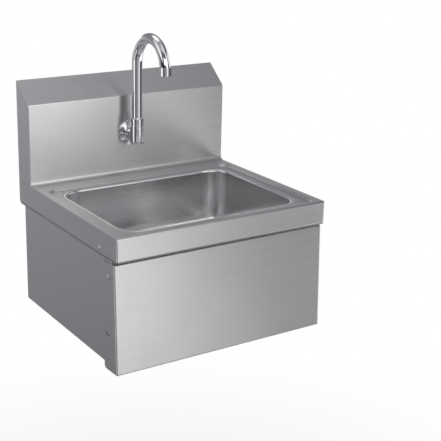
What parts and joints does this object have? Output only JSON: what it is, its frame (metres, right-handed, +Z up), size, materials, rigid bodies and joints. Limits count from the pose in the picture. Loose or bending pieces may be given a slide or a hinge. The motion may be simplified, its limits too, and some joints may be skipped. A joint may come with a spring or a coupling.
{
  "type": "hand wash sink",
  "caption": "Wall-hung stainless hand sink: drawn bowl in a marine-edge deck, sloped backsplash, swivelling gooseneck spout and a push panel that works the valve.",
  "frame": {"origin": "on the wall, midway between the two wall screw holes of the bracket", "axes": "+Z up, +Y into the wall, the front of the sink faces -Y, +X to the right seen from the front"},
  "size_m": [0.4382, 0.3937, 0.5489],
  "materials": {
    "sheet": "brushed stainless sheet, grain along the long edges",
    "screw": "domed stainless screws, satin",
    "zinc": "zinc-plated steel, dull",
    "polished": "polished stainless",
    "chrome": "polished chrome plate",
    "brass": "machined brass",
    "copper": "drawn copper tube",
    "steel_rod": "ground stainless rod and spring wire",
    "nylon": "white nylon",
    "rubber": "black rubber",
    "fibre": "red fibre"
  },
  "bodies": {
    "sink": {"sink_top": "sheet", "bowl": "sheet", "backsplash": "sheet", "splash_end_left": "sheet", "splash_end_right": "sheet", "wall_bracket": "zinc", "side_panel_left": "sheet", "side_panel_right": "sheet", "apron_screws": "screw", "apron_nuts": "zinc", "pivot_screws": "screw", "pivot_washers": "nylon", "pivot_nuts": "zinc", "stop_pins": "screw", "valve_bracket": "zinc", "valve_body": "brass", "valve_locknut": "brass", "valve_gland": "brass", "valve_spring": "steel_rod", "inlet_nipple_hot": "brass", "inlet_nipple_cold": "brass", "outlet_nut": "brass", "supply_tube": "copper", "elbow_nut": "brass", "supply_elbow": "brass", "spout_shank": "brass", "shank_washer": "fibre", "shank_locknut": "brass", "wall_flange": "chrome", "spout_body": "chrome", "spout_nut": "chrome", "drain_body": "polished", "drain_gasket": "rubber", "drain_washer": "fibre", "drain_locknut": "zinc", "tailpiece": "chrome", "tailpiece_nut": "chrome"},
    "panel": {"knee_panel": "sheet"},
    "plunger": {"valve_plunger": "steel_rod", "push_pad": "nylon"},
    "spout": {"gooseneck": "chrome", "spout_outlet": "chrome"},
    "strainer": {"strainer_basket": "polished", "strainer_stopper": "rubber"}
  },
  "joints": [
    {"name": "knee_panel_push", "type": "hinge", "parent": "sink", "child": "panel", "pos_m": [0, -0.366, -0.223], "axis": [1, 0, 0], "range_deg": [0, 6]},
    {"name": "valve_plunger_press", "type": "slide", "parent": "sink", "child": "plunger", "axis": [0, 1, 0], "range_m": [0, 0.0098], "stiffness_N_per_m": 800, "springref_m": -0.012, "deforming": ["valve_spring"]},
    {"name": "spout_swivel", "type": "hinge", "parent": "sink", "child": "spout", "pos_m": [0, -0.0775, -0.06], "axis": [0, 0, 1], "range_deg": [-90, 90]},
    {"name": "strainer_lift", "type": "slide", "parent": "sink", "child": "strainer", "axis": [0, 0, 1], "range_m": [0, 0.17]}
  ],
  "couplings": [
    {"joint": "valve_plunger_press", "follows": "knee_panel_push", "m_per_rad": 0.0919}
  ]
}
